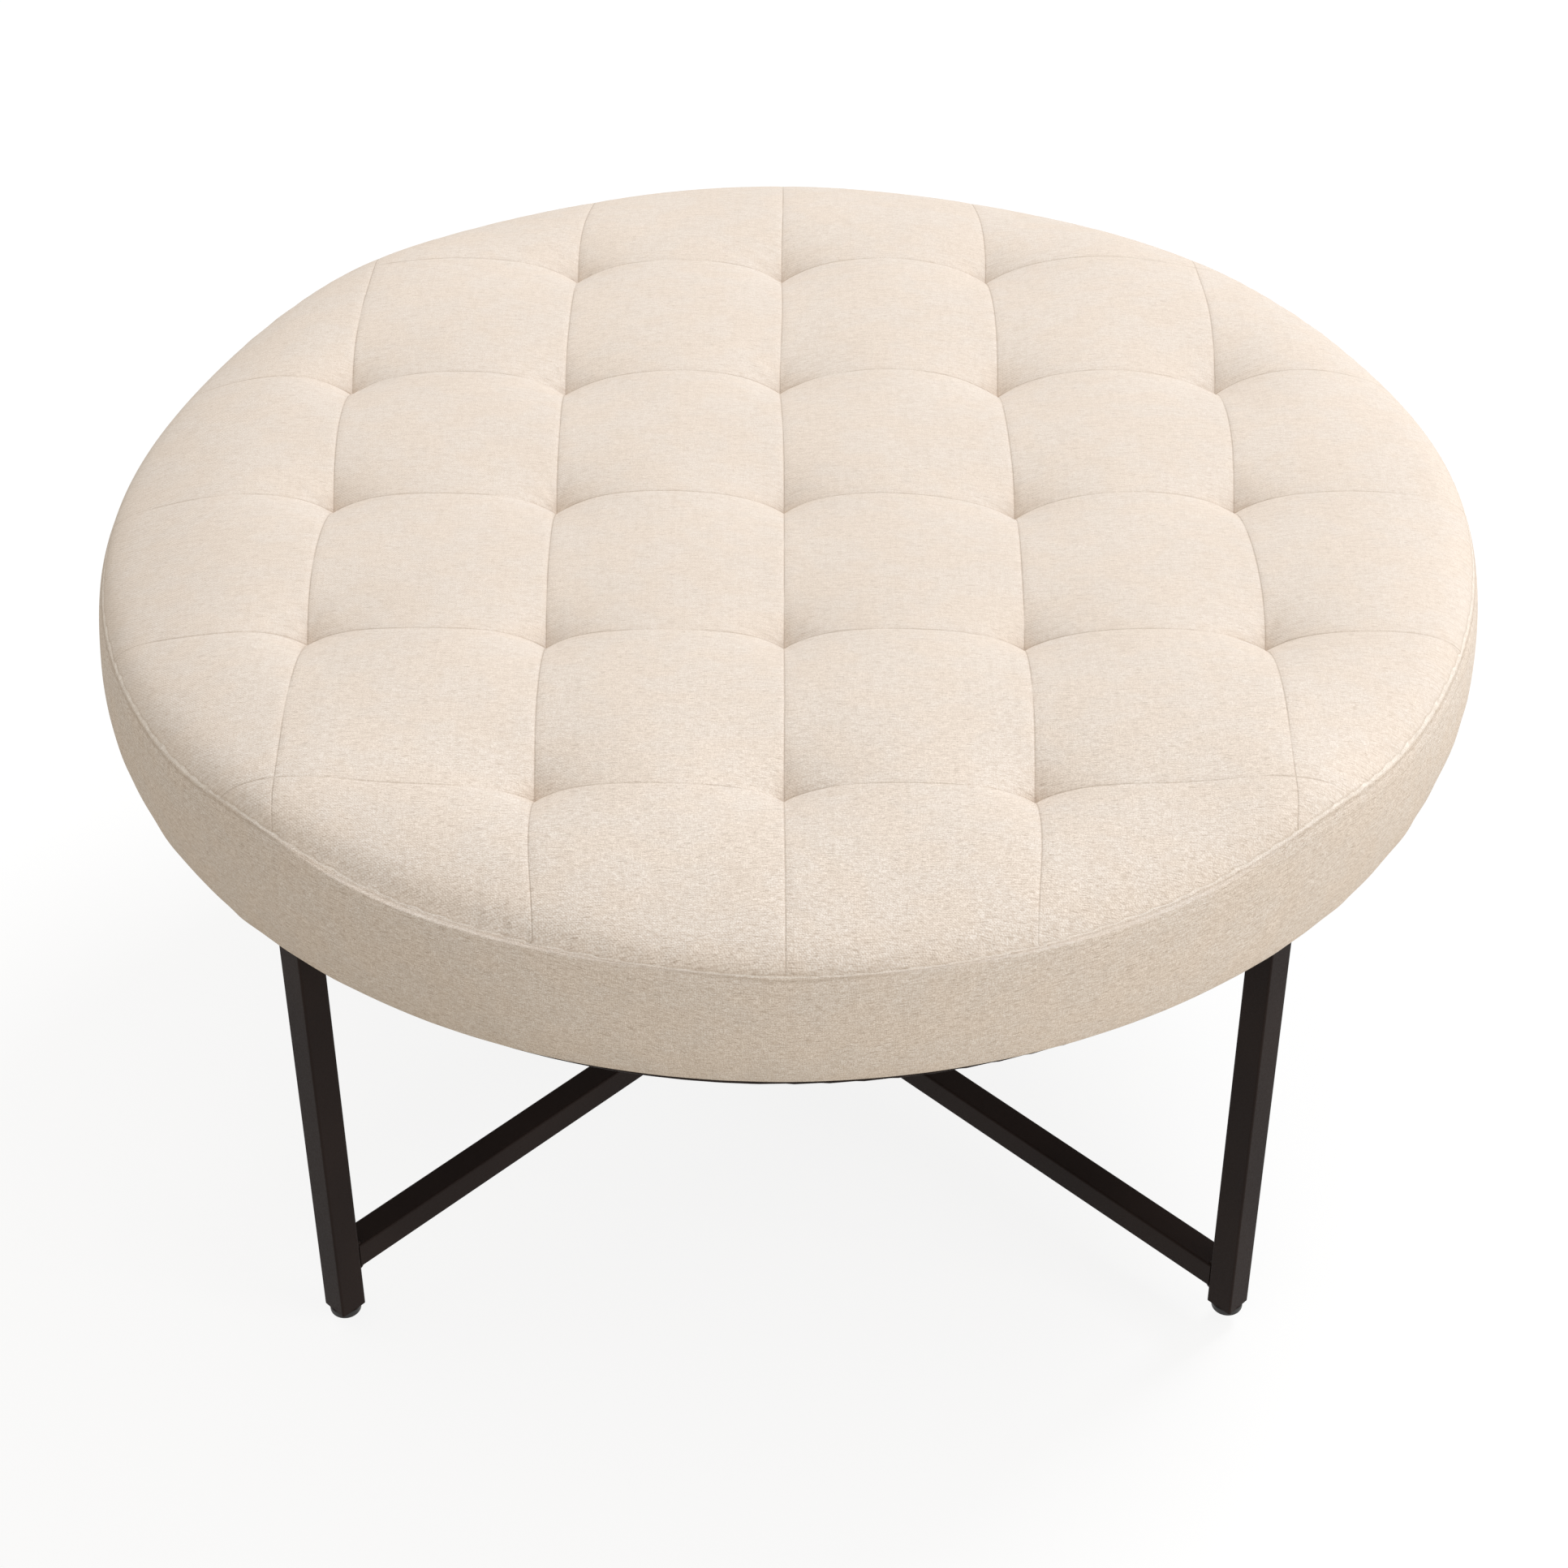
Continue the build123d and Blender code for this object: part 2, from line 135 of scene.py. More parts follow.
def out_of_round(angle):
    """How far the padded edge stands out from a true circle."""
    return round_waves(angle, 0.46, (2.38, -1.64), (0.34, 1.42), (0.35, 0.26))


def edge_rise(angle):
    """How far the padded edge stands above its even height."""
    return round_waves(angle, -0.69, (1.7, -1.27), (-1.28, 0.43), (2.2, -0.88))


def edge_height(angle):
    """Height of the edge seam: the cover's four untufted corners lift it."""
    height = EDGE_Z + edge_rise(angle)
    for corner, lift, half_width in CORNERS:
        away = (np.degrees(angle) - corner + 180) % 360 - 180
        height = height + lift * np.exp(-((away / half_width) ** 2))
    hand_sewn = 0.6 * np.sin(7 * angle + 1.0) + 0.4 * np.sin(13 * angle)
    return height + hand_sewn


def nearest_line(w):
    """Place of the stitched line nearest to a place across the lines."""
    return np.clip(np.round(w / PITCH), -OUTER_LINE, OUTER_LINE) * PITCH


def tuft_offset(u, v):
    """How far the cover is pulled off its grid at a place, from the tufts round it."""
    dx, dy, weight = 0.0, 0.0, 1e-6
    for (i, j), (ox, oy) in TUFTS.items():
        w = np.exp(-((u - i * PITCH) ** 2 + (v - j * PITCH) ** 2) / (2 * SHIFT_REACH**2))
        dx, dy, weight = dx + w * ox, dy + w * oy, weight + w
    spread = np.minimum(weight, 1.0) / weight
    return dx * spread, dy * spread


def roll_off(r):
    """How far the cover has dropped from its crown at a distance from the middle."""
    share = np.clip((r - ROLL_START) / ROLL_WIDTH, 0.0, ROLL_END)
    return ROLL_DROP * (1 - np.sqrt(1 - share**2))


def stitched_valley(u, v, r):
    """Depth below the pillows of the stitched lines."""

    def one(w):
        away = np.abs(w - nearest_line(w))
        share = np.clip(away / (PITCH / 2), 0, 1)
        return VALLEY_DEPTH * (1 - share) ** 2 + CREASE_DEPTH * np.exp(-away / CREASE_REACH)

    return (one(u) ** 4 + one(v) ** 4) ** 0.25 * (1 - EDGE_FADE * smooth(*VALLEYS_FADE, r))


def tuft_hollow(u, v):
    """Depth of the hollows round the tufts, with small gathers in their walls. No two tufts are quite the same."""
    depth = 0.0
    for number, (i, j) in enumerate(TUFTS):
        x, y = u - i * PITCH, v - j * PITCH
        away = np.hypot(x, y)
        turn = np.arctan2(y, x)
        reach = TUFT_REACH - REACH_LOSS * np.abs(np.sin(2 * turn))
        hollow = TUFT_PULL * (1 + 0.05 * math.sin(number * 2.3)) * np.exp(-away / reach)
        ring = np.exp(-(((away - GATHER_R) / GATHER_WIDTH) ** 2))
        gathers = GATHER_HEIGHT * np.sin(GATHER_COUNT * turn + number * 1.7) * ring
        depth = depth + hollow + gathers * (0.5 + 0.5 * math.sin(number * 3.1))
    return depth


def cover_point(u, v):
    """Place of a point of the tufted cover, from its place (u, v) on the flat cloth."""
    r = np.hypot(u, v)
    inner = 1 - smooth(*SHIFTS_FADE, r)
    ox, oy = tuft_offset(u, v)
    x = u + inner * (ox + BOW_X * u / PITCH * np.abs(np.sin(np.pi * v / PITCH)))
    x = x - PULL_IN * u / PITCH * smooth(*PULL_GROWS, np.abs(v))
    y = v + inner * (oy + BOW_Y * v / PITCH * np.abs(np.sin(np.pi * u / PITCH)))
    angle = np.arctan2(v, u)
    edge = smooth(*LIFT_GROWS, r) * (edge_height(angle) - (CROWN_Z - roll_off(np.array(SEAM_R))))
    z = CROWN_Z - roll_off(r) + edge
    z = z - stitched_valley(u, v, r) * (1 - smooth(*STITCHES_END, r)) - tuft_hollow(u, v)
    z = z + 0.5 * unevenness(u, v) * (1 - smooth(*WAVES_END, r))
    wider = 1 + out_of_round(angle) * smooth(*WIDER_GROWS, r) / SEAM_R
    return np.stack([x * wider, y * wider, z], axis=-1)


def flat_cover():
    """The flat cloth as a grid that follows the stitched lines, cut to a circle.

    Gives its points, its faces, and the numbers of its rim points in order round the circle.
    """
    # Distances of grid lines from a stitched line, up to halfway between two
    near = [0, 0.7, 1.6, 2.8, 4.4, 6.6, 9.6, 13.4, 18, 23.4, 29.6, 36.4, 44, 52, 60, 68]
    steps = near + [PITCH / 2] + [PITCH - n for n in reversed(near[1:])]
    lines = [(i * PITCH) + s for i in range(-3, 3) for s in steps] + [3 * PITCH]
    n = len(lines)
    lines = np.array(lines)
    gaps = np.gradient(lines)
    # Each point is inside the circle (-1) or outside it (1), or moves onto it (0) if it is nearer than this share of
    # a grid step and a least distance
    near_share, near_least = 0.42, 0.15
    points, status = [], []
    for a in range(n):
        for b in range(n):
            u, v = lines[a], lines[b]
            r = math.hypot(u, v)
            if abs(r - SEAM_R) < near_share * min(gaps[a], gaps[b]) + near_least:
                u, v = u * SEAM_R / r, v * SEAM_R / r
                status.append(0)
            else:
                status.append(-1 if r < SEAM_R else 1)
            points.append((u, v))
    cuts = {}

    def crossing(p, q):
        """The point where the grid line between two points meets the circle."""
        key = (min(p, q), max(p, q))
        if key not in cuts:
            (u0, v0), (u1, v1) = points[p], points[q]
            du, dv = u1 - u0, v1 - v0
            a, b, c = du * du + dv * dv, u0 * du + v0 * dv, u0 * u0 + v0 * v0 - SEAM_R**2
            root = math.sqrt(b * b - a * c)
            t = [t for t in ((-b - root) / a, (-b + root) / a) if -1e-9 <= t <= 1 + 1e-9][0]
            cuts[key] = len(points)
            points.append((u0 + t * du, v0 + t * dv))
            status.append(0)
        return cuts[key]

    faces = []
    for a in range(n - 1):
        for b in range(n - 1):
            ring = [a * n + b, (a + 1) * n + b, (a + 1) * n + b + 1, a * n + b + 1]
            kinds = [status[k] for k in ring]
            if min(kinds) >= 0:
                continue
            if max(kinds) <= 0:
                faces.append(ring)
                continue
            face = []
            for p, q in zip(ring, ring[1:] + ring[:1]):
                if status[p] <= 0:
                    face.append(p)
                if status[p] * status[q] < 0:
                    face.append(crossing(p, q))
            face = [k for k, before in zip(face, face[-1:] + face[:-1]) if k != before]
            if len(set(face)) >= 3:
                faces.append(face)
    used = sorted({k for face in faces for k in face})
    new = {k: m for m, k in enumerate(used)}
    points = np.array([points[k] for k in used])
    rim = [m for k, m in new.items() if status[k] == 0]
    rim.sort(key=lambda m: math.atan2(points[m][1], points[m][0]))
    return points, [[new[k] for k in face] for face in faces], rim


def side_rings(angle):
    """Rings from the edge seam down the side, under the rim and back over the deck, each as radius and height."""
    top = edge_height(angle)
    one = np.ones_like(angle)
    rings = []
    for dr, dz in ((0.35, 0.05), (0.8, -0.8), (SIDE_OUT, -SIDE_DROP)):
        rings.append(((SEAM_R + dr) * one, top + dz))
    low = RIM_Z + SIDE_FOOT
    along = angle * SEAM_R
    for k in range(1, SIDE_RINGS + 1):
        t = k / SIDE_RINGS
        z = (top - SIDE_DROP) + (low - top + SIDE_DROP) * t
        bulge = SIDE_BULGE * math.sin(math.pi * t) ** BULGE_POWER
        r = SEAM_R + SIDE_OUT + (RIM_R - SEAM_R - SIDE_OUT) * t + bulge
        r = r + 0.45 * math.sin(math.pi * t) * unevenness(along, z) + 0.3 * t**3 * rim_unevenness(along, z)
        rings.append((r, z))
    # The rim turns under in two short steps, and the hem goes on flat below the deck, then over the deck's edge
    uneven = 0.28 * rim_unevenness(along, 0 * angle)
    rings.append((RIM_R - 0.9 + 0.4 * uneven, RIM_Z + 0.9 + 0.5 * uneven))
    rings.append((RIM_R - 2.6 + 0.3 * uneven, RIM_Z + 0.15 + 0.2 * np.abs(uneven)))
    for r in (RIM_R - 6, 446.0, 440.0, 428.0, 416.0, 404.0, 390.0, HEM_R):
        rings.append((r * one, RIM_Z * one))
    rings.append((HEM_R * one, (DECK_BOTTOM - DECK_GAP) * one))
    rings.append(((DECK_R + 2 * DECK_GAP) * one, (DECK_BOTTOM - DECK_GAP) * one))
    rings.append(((DECK_R + 2 * DECK_GAP) * one, (DECK_TOP + 0.2) * one))
    rings.append((200.0 * one, (DECK_TOP + 0.2) * one))
    # The rim follows the ring more closely than the edge seam does
    for k, (r, z) in enumerate(rings):
        stand = out_of_round(angle) * smooth(*RIM_GROWS, r) * (0.3 + 0.7 * smooth(RIM_Z, RIM_Z + 30.0, z))
        rings[k] = (r + stand, z)
    return rings


def new_piece(name, points, faces, materials):
    """A smooth-shaded mesh object from points in millimetres."""
    mesh = bpy.data.meshes.new(name)
    mesh.from_pydata([tuple(p) for p in np.asarray(points) * 0.001], [], faces)
    mesh.update()
    piece = bpy.data.objects.new(name, mesh)
    bpy.context.scene.collection.objects.link(piece)
    for material in materials:
        mesh.materials.append(material)
    mesh.polygons.foreach_set("use_smooth", [True] * len(mesh.polygons))
    return piece


def point_places(mesh):
    """Places of a mesh's points, in millimetres."""
    places = np.empty(len(mesh.vertices) * 3, np.float32)
    mesh.vertices.foreach_get("co", places)
    return places.reshape(-1, 3) * 1000.0


def cloth_run(points, faces, wanted):
    """Movement of the first points, as many as wanted, when the cover is stretched over its padding.

    A cloth run with inner pressure on an even, coarser copy, held at the edge, the tufts and the stitched lines.
    """
    copy = new_piece("cloth_run", points, faces, [])
    even = copy.modifiers.new("even", "REMESH")
    even.mode = "VOXEL"
    even.voxel_size = 0.0075
    mesh = bpy.data.meshes.new_from_object(copy.evaluated_get(bpy.context.evaluated_depsgraph_get()))
    copy.modifiers.remove(even)
    copy.data = mesh
    before = point_places(mesh)
    x, y, z = before.T
    held = np.maximum(smooth(428.0, 446.0, np.hypot(x, y)), 1 - smooth(438.0, 442.0, z))
    for (i, j), (ox, oy) in TUFTS.items():
        held = np.maximum(held, 1 - smooth(6.0, 16.0, np.hypot(x - i * PITCH - ox, y - j * PITCH - oy)))
    for w in (x, y):
        held = np.maximum(held, STITCH_HOLD * np.exp(-(((w - nearest_line(w)) / STITCH_HOLD_REACH) ** 2)))
    group = copy.vertex_groups.new(name="held")
    levels = 20
    for level in range(1, levels + 1):
        group.add(np.flatnonzero(np.round(held * levels) == level).tolist(), level / levels, "REPLACE")
    cloth = copy.modifiers.new("cloth", "CLOTH")
    cloth.settings.quality = 5
    cloth.settings.mass = 0.3
    cloth.settings.tension_stiffness = 15.0
    cloth.settings.compression_stiffness = 15.0
    cloth.settings.shear_stiffness = 5.0
    cloth.settings.bending_stiffness = 0.5
    cloth.settings.use_pressure = True
    cloth.settings.uniform_pressure_force = 4.0
    cloth.settings.effector_weights.gravity = 0.0
    cloth.settings.vertex_group_mass = "held"
    cloth.collision_settings.use_collision = False
    cloth.point_cache.frame_start = 1
    cloth.point_cache.frame_end = CLOTH_FRAMES
    for number in range(1, CLOTH_FRAMES + 1):
        bpy.context.scene.frame_set(number)
    moved = point_places(copy.evaluated_get(bpy.context.evaluated_depsgraph_get()).data) - before
    bpy.context.scene.frame_set(1)
    bpy.data.objects.remove(copy, do_unlink=True)
    bpy.data.meshes.remove(mesh)
    tree = KDTree(len(before))
    for k, place in enumerate(before):
        tree.insert(place, k)
    tree.balance()
    result = np.zeros((wanted, 3))
    for k in range(wanted):
        near = tree.find_n(points[k], 5)
        share = np.array([1 / (2.0 + distance) ** 2 for _, _, distance in near])
        result[k] = share @ moved[[index for _, index, _ in near]] / share.sum()
    length = np.linalg.norm(result, axis=1)
    return result * np.minimum(1.0, CLOTH_GIVE / np.maximum(length, 1e-6))[:, None]


# Materials
WEAVE = 1.9  # millimetres along a yarn from one rise over the crossing yarns to the next
PLY = 0.0036  # metres for two plies of the plywood


class Shader:
    """A material in the making: a principled shader, and short calls that add nodes to it."""

    def __init__(self, name, **sockets):
        self.material = bpy.data.materials.new(name)
        self.material.use_nodes = True
        self.tree = self.material.node_tree
        self.tree.nodes.clear()
        out = self.tree.nodes.new("ShaderNodeOutputMaterial")
        self.bsdf = self.tree.nodes.new("ShaderNodeBsdfPrincipled")
        self.tree.links.new(self.bsdf.outputs[0], out.inputs["Surface"])
        for key, value in sockets.items():
            self.bsdf.inputs[key.replace("_", " ")].default_value = value

    def put(self, socket, value):
        if isinstance(value, bpy.types.NodeSocket):
            self.tree.links.new(value, socket)
        elif value is not None:
            socket.default_value = value

    def node(self, kind, out=0, fields=(), **inputs):
        """Adds a node. An input is given by its name, or by its number as i0, i1 and so on."""
        node = self.tree.nodes.new("ShaderNode" + kind)
        for key, value in fields:
            setattr(node, key, value)
        for key, value in inputs.items():
            numbered = key[1:].isdigit()
            self.put(node.inputs[int(key[1:]) if numbered else key.replace("_", " ")], value)
        return node.outputs[out]

    def place(self):
        """The place on the object, in metres."""
        return self.node("TexCoord", "Object")

    def split(self, vector):
        """The vector's three numbers, each as its own output."""
        return self.node("SeparateXYZ", "X", Vector=vector).node.outputs

    def math(self, operation, a, b=None, c=None):
        return self.node("Math", fields=(("operation", operation),), i0=a, i1=b, i2=c)

    def ramp(self, value, low, high):
        """0 below low, 1 above high, smooth between."""
        step = (("interpolation_type", "SMOOTHSTEP"),)
        return self.node("MapRange", fields=step, Value=value, From_Min=low, From_Max=high)

    def remap(self, value, low, high, to_low, to_high):
        return self.node("MapRange", Value=value, From_Min=low, From_Max=high, To_Min=to_low, To_Max=to_high)

    def mix(self, share, a, b):
        node = self.tree.nodes.new("ShaderNodeMix")
        node.data_type = "RGBA"
        self.put(node.inputs["Factor"], share)
        self.put([s for s in node.inputs if s.name == "A" and s.type == "RGBA"][0], a)
        self.put([s for s in node.inputs if s.name == "B" and s.type == "RGBA"][0], b)
        return [s for s in node.outputs if s.type == "RGBA"][0]

    def tint(self, colour, tone, cover, strength, clear=None):
        """Blends a tone into a colour where cover is near 1."""
        share = self.math("MULTIPLY", cover, strength)
        if clear is not None:
            share = self.math("MULTIPLY", share, clear)
        return self.mix(share, colour, tone)

    def noise(self, vector, scale, detail=2.0, roughness=0.5, flat=False):
        kind = (("noise_dimensions", "2D"),) if flat else ()
        return self.node("TexNoise", fields=kind, Vector=vector, Scale=scale, Detail=detail, Roughness=roughness)

    def yarns(self, vector, x, y):
        """Threads on the flat cloth: noise with its own frequency per millimetre across and along."""
        return self.noise(self.stretched(vector, x * 1000.0, y * 1000.0), 1.0, 1.0, 0.6, True)

    def stretched(self, vector, x, y, z=1.0):
        return self.node("Mapping", Vector=vector, Scale=(x, y, z))

    def finish(self, colour, relief, distance, strength, roughness=None):
        """Joins the colour, the roughness and a bump, and hands over the material."""
        self.put(self.bsdf.inputs["Base Color"], colour)
        self.put(self.bsdf.inputs["Roughness"], roughness)
        self.put(self.bsdf.inputs["Normal"], self.node("Bump", Height=relief, Distance=distance, Strength=strength))
        return self.material


def srgb(r, g, b):
    """A colour written as it shows, from 0 to 255, as the linear colour that Blender takes."""
    shown = (r / 255, g / 255, b / 255)
    return tuple(c / 12.92 if c <= 0.04045 else ((c + 0.055) / 1.055) ** 2.4 for c in shown) + (1.0,)


HEATHER_WARM, HEATHER_COOL = srgb(255, 244, 233), srgb(254, 246, 238)
YARN_TAN, YARN_SAND, YARN_BROWN = srgb(213, 197, 182), srgb(220, 206, 192), srgb(172, 153, 136)
# Painted shade for the stitched lines, the edge seam and the crease under the turned edge, and a painted highlight
# on the turned edge
PAINTED_SEAM_SHADE, PAINTED_EDGE_HIGHLIGHT = srgb(172, 152, 130), srgb(250, 242, 232)


def woven_cloth(name, stitched):
    """Heathered plain-weave upholstery cloth. Its coordinates are metres on the flat cloth."""
    s = Shader(name, Roughness=0.92, Specular_IOR_Level=0.10, Sheen_Weight=0.08, Sheen_Roughness=0.5)
    cloth = s.node("UVMap", fields=(("uv_map", "cloth"),))
    parts = s.split(cloth)
    x = s.math("MULTIPLY", parts[0], 1000.0)
    y = s.math("MULTIPLY", parts[1], 1000.0)
    # The yarns show faintly on the flat of the top, and clearly at its front edge and on the side
    clear = s.remap(y, -150.0, -400.0, 0.5, 0.98) if stitched else 1.0
    heather = s.noise(s.stretched(cloth, 26.0, 34.0), 1.0, 2.0, 0.6, True)
    colour = s.mix(s.ramp(heather, 0.36, 0.64), HEATHER_WARM, HEATHER_COOL)
    if stitched:
        colour = s.mix(s.math("MULTIPLY_ADD", clear, -0.6, 0.6), colour, YARN_TAN)
    # Yarns: each is thicker and thinner along its length, and a few slubs are darker
    weft = s.yarns(cloth, 0.2, 1.55)
    warp = s.yarns(cloth, 1.7, 0.30)
    flecks = s.yarns(cloth, 0.72, 1.6)
    slubs = s.yarns(cloth, 0.13, 1.5)
    colour = s.tint(colour, YARN_TAN, s.ramp(weft, 0.44, 0.66), 0.58, clear)
    colour = s.tint(colour, YARN_TAN, s.ramp(warp, 0.44, 0.64), 0.46, clear)
    colour = s.tint(colour, YARN_TAN, s.ramp(flecks, 0.50, 0.70), 0.66, clear)
    colour = s.tint(colour, YARN_BROWN, s.ramp(slubs, 0.62, 0.74), 0.50, clear)
    # Long faint streaks along and across, as linen has
    colour = s.tint(colour, YARN_TAN, s.ramp(s.yarns(cloth, 0.05, 0.55), 0.46, 0.68), 0.18)
    colour = s.tint(colour, YARN_SAND, s.ramp(s.yarns(cloth, 0.42, 0.05), 0.50, 0.70), 0.14)
    # The weave itself: over and under, with the diagonal that a plain weave shows
    over = s.math("SINE", s.math("MULTIPLY", s.math("ADD", x, y), 2 * math.pi / WEAVE))
    under = s.math("SINE", s.math("MULTIPLY", s.math("SUBTRACT", x, y), 2 * math.pi / WEAVE))
    weave = s.math("MULTIPLY_ADD", over, 0.7, s.math("MULTIPLY", under, 0.35))
    colour = s.tint(colour, YARN_TAN, s.ramp(weave, 0.0, 0.9), 0.17, clear)
    threads = s.math("ADD", s.math("ADD", weft, warp), flecks)
    relief = s.math("MULTIPLY_ADD", threads, 1.15, s.math("MULTIPLY", weave, 0.30))
    if stitched:
        # Thin stitched lines of painted shade, which fades here and there, and painted shade close to the edge seam
        line_fade = s.yarns(cloth, 0.02, 0.02)
        sewn = []
        for w, line, fade_span in ((x, (0.12, 0.7), (0.15, 0.5)), (y, (0.15, 0.8), (0.25, 0.6))):
            near_line = s.math("SUBTRACT", 1.0, s.ramp(s.math("PINGPONG", w, PITCH / 2), *line))
            sewn.append(s.math("MULTIPLY", near_line, s.ramp(line_fade, *fade_span)))
        sewn = s.math("MAXIMUM", *sewn)
        colour = s.tint(colour, PAINTED_SEAM_SHADE, sewn, 0.30)
        # Painted shade on the top within 2 mm of the edge seam
        out = s.math("SQRT", s.math("MULTIPLY_ADD", x, x, s.math("MULTIPLY", y, y)))
        painted_edge_shade = s.math("SUBTRACT", 1.0, s.ramp(s.math("SUBTRACT", SEAM_R, out), 0.2, 1.8))
        colour = s.tint(colour, PAINTED_SEAM_SHADE, painted_edge_shade, 0.22)
        relief = s.math("MULTIPLY_ADD", s.math("SUBTRACT", 1.0, sewn), 2.4, relief)
    else:
        # Painted highlight along the turned edge, painted shade in the crease under it, and the seam allowance shows
        # as a faint step below
        wander = s.noise(s.stretched(cloth, 9.0, 0.0), 1.0, 1.0, 0.5, True)
        colour = s.tint(colour, PAINTED_EDGE_HIGHLIGHT, s.math("SUBTRACT", 1.0, s.ramp(y, 0.9, 1.4)), 0.40)
        painted_crease_shade = s.math("MULTIPLY", s.ramp(y, 1.6, 2.6), s.math("SUBTRACT", 1.0, s.ramp(y, 2.8, 5.4)))
        colour = s.tint(colour, PAINTED_SEAM_SHADE, painted_crease_shade, 0.28)
        step = s.ramp(s.math("MULTIPLY_ADD", wander, 3.0, y), 13.0, 14.8)
        relief = s.math("MULTIPLY_ADD", s.math("SUBTRACT", 1.0, step), 1.8, relief)
    return s.finish(colour, relief, 0.0002, 0.5 if stitched else 0.8)


def powder_coat(name, beads=False):
    """Dark bronze-brown satin powder coat with its fine orange peel."""
    s = Shader(name, Specular_IOR_Level=0.06)
    place = s.place()
    peel = s.noise(place, 900.0, 2.0, 0.5)
    grains = s.noise(place, 3200.0, 1.0)
    broad = s.noise(place, 9.0, 1.0)
    colour = s.mix(s.ramp(broad, 0.3, 0.7), srgb(37, 29, 27), srgb(44, 35, 32))
    colour = s.tint(colour, srgb(52, 44, 40), s.ramp(grains, 0.62, 0.72), 0.25)
    relief = s.math("MULTIPLY_ADD", grains, 0.25, peel)
    if beads:
        bands = (("wave_type", "BANDS"), ("bands_direction", "DIAGONAL"))
        ripples = s.node("TexWave", fields=bands, Vector=place, Scale=160.0, Distortion=3.0, Detail=1.0)
        relief = s.math("MULTIPLY_ADD", ripples, 4.0, relief)
    return s.finish(colour, relief, 0.00012, 0.5, s.remap(peel, 0.3, 0.7, 0.42, 0.54))


def moulded_plastic(name, dark, light, roughness):
    s = Shader(name, Specular_IOR_Level=0.4)
    place = s.place()
    grain = s.noise(place, 1400.0, 2.0)
    scuffs = s.noise(s.stretched(place, 60.0, 60.0, 400.0), 1.0, 3.0)
    colour = s.mix(s.ramp(scuffs, 0.5, 0.75), dark, light)
    return s.finish(colour, grain, 0.00008, 0.5, s.remap(scuffs, 0.3, 0.8, roughness - 0.06, roughness + 0.12))


def plated_steel(name, dark, light):
    s = Shader(name, Metallic=1.0)
    place = s.place()
    spangle = s.node("TexVoronoi", Vector=place, Scale=420.0)
    marks = s.noise(s.stretched(place, 900.0, 900.0, 90.0), 1.0, 2.0)
    colour = s.mix(s.ramp(spangle, 0.1, 0.7), dark, light)
    return s.finish(colour, marks, 0.00005, 0.4, s.remap(marks, 0.3, 0.7, 0.28, 0.46))


def plywood(name):
    """Unfinished plywood: figure and pores on its faces, plies on its edge."""
    s = Shader(name, Roughness=0.62, Specular_IOR_Level=0.3)
    place = s.place()
    figure = s.noise(s.stretched(place, 9.0, 90.0, 9.0), 1.0, 4.0, 0.6)
    pores = s.noise(s.stretched(place, 120.0, 1600.0, 400.0), 1.0, 2.0)
    ply = s.math("SINE", s.math("MULTIPLY", s.split(place)[2], 2 * math.pi / PLY))
    colour = s.mix(s.ramp(figure, 0.35, 0.68), srgb(214, 184, 140), srgb(186, 148, 102))
    colour = s.tint(colour, srgb(150, 112, 74), s.ramp(ply, -0.2, 0.6), 0.3)
    colour = s.tint(colour, srgb(120, 86, 56), s.ramp(pores, 0.6, 0.7), 0.5)
    return s.finish(colour, pores, 0.0002, 0.5)


def open_foam(name, dark, light):
    s = Shader(name, Roughness=0.95, Specular_IOR_Level=0.15)
    cells = s.node("TexVoronoi", Vector=s.place(), Scale=900.0)
    return s.finish(s.mix(s.ramp(cells, 0.1, 0.6), dark, light), cells, 0.0006, 0.6)


def black_nonwoven(name):
    """Spun dust-cover cloth: pressed fibres with a grid of small bonded points."""
    s = Shader(name, Roughness=0.85, Specular_IOR_Level=0.25, Sheen_Weight=0.1)
    place = s.place()
    fibres = s.noise(s.stretched(place, 500.0, 2600.0, 500.0), 1.0, 3.0)
    cross = s.noise(s.stretched(place, 2600.0, 500.0, 500.0), 1.0, 3.0)
    bonds = s.node("TexVoronoi", Vector=place, Scale=620.0)
    colour = s.mix(s.ramp(s.math("MAXIMUM", fibres, cross), 0.45, 0.75), srgb(22, 22, 22), srgb(44, 43, 42))
    relief = s.math("ADD", s.math("ADD", fibres, cross), s.ramp(bonds, 0.05, 0.35))
    return s.finish(colour, relief, 0.0002, 0.6)


def twisted_twine(name):
    s = Shader(name, Roughness=0.8, Specular_IOR_Level=0.25)
    lay = s.node("TexWave", fields=(("bands_direction", "Z"),), Vector=s.place(), Scale=190.0, Distortion=1.0)
    return s.finish(s.mix(lay, srgb(196, 182, 156), srgb(222, 210, 186)), lay, 0.0004, 0.7)


top_cloth = woven_cloth("upholstery_cloth_top", True)
side_cloth = woven_cloth("upholstery_cloth_side", False)
coat = powder_coat("powder_coat_bronze")
bead_coat = powder_coat("powder_coat_on_welds", True)
pad_plastic = moulded_plastic("foot_pad_plastic", srgb(24, 22, 21), srgb(40, 38, 36), 0.48)
plug_plastic = moulded_plastic("plug_plastic", srgb(28, 27, 26), srgb(42, 40, 38), 0.55)
anchor_plastic = moulded_plastic("anchor_plastic_pale", srgb(214, 213, 208), srgb(232, 231, 227), 0.45)
zinc = plated_steel("zinc_plate", srgb(150, 152, 154), srgb(196, 198, 200))
black_screws = plated_steel("black_oxide_steel", srgb(24, 24, 25), srgb(46, 46, 48))
deck_wood = plywood("deck_plywood")
foam = open_foam("cream_foam", srgb(206, 192, 150), srgb(236, 224, 190))
dust_cloth = black_nonwoven("black_dust_cloth")
twine = twisted_twine("tufting_twine")

